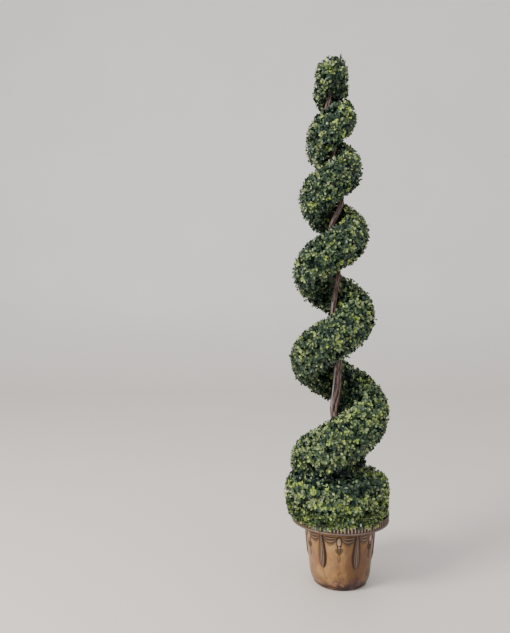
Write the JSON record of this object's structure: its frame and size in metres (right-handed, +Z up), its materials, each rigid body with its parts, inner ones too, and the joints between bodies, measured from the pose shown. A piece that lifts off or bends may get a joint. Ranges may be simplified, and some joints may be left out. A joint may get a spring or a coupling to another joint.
{
  "type": "artificial spiral topiary in a pot",
  "caption": "Clipped small-leaved foliage winding up a bundle of twisted stems, over a leafy ring in a round embossed pot; an indoor decoration.",
  "frame": {"origin": "centre of the pot's flat underside", "axes": "+Z up the stems, the longest extent; -Y faces the viewer of the picture, +X is to their right"},
  "size_m": [0.3061, 0.2928, 1.5327],
  "materials": {
    "pot": "worn antique bronze paint, satin, over raised ornament",
    "filling": "rough, cast weight that holds the stems",
    "vine_bark": "rough brown bark",
    "centre_rod": "pale grey, dull",
    "band_leaves": "small glossy leaves in mixed greens",
    "ring_leaves": "small glossy leaves in mixed greens, more yellow-green tips"
  },
  "bodies": {
    "root": {"pot": "pot", "pot_filling": "filling", "centre_rod": "centre_rod", "vine_stem_1": "vine_bark", "vine_stem_2": "vine_bark", "vine_stem_3": "vine_bark", "vine_stem_4": "vine_bark", "vine_stem_5": "vine_bark", "ring_foliage_front": "ring_leaves", "ring_foliage_right": "ring_leaves", "ring_foliage_back": "ring_leaves", "ring_foliage_left": "ring_leaves", "band_turn_1_left": "band_leaves", "band_turn_1_front": "band_leaves", "band_turn_1_right": "band_leaves", "band_turn_1_back": "band_leaves", "band_turn_2_left": "band_leaves", "band_turn_2_front": "band_leaves", "band_turn_2_right": "band_leaves", "band_turn_2_back": "band_leaves", "band_turn_3_left": "band_leaves", "band_turn_3_front": "band_leaves", "band_turn_3_right": "band_leaves", "band_turn_3_back": "band_leaves", "band_turn_4_left": "band_leaves", "band_turn_4_front": "band_leaves", "band_turn_4_right": "band_leaves", "band_turn_4_back": "band_leaves", "band_turn_5_left": "band_leaves", "band_turn_5_front": "band_leaves", "band_turn_5_right": "band_leaves", "band_turn_5_back": "band_leaves", "band_tip": "band_leaves", "band_foot": "band_leaves"}
  },
  "joints": []
}
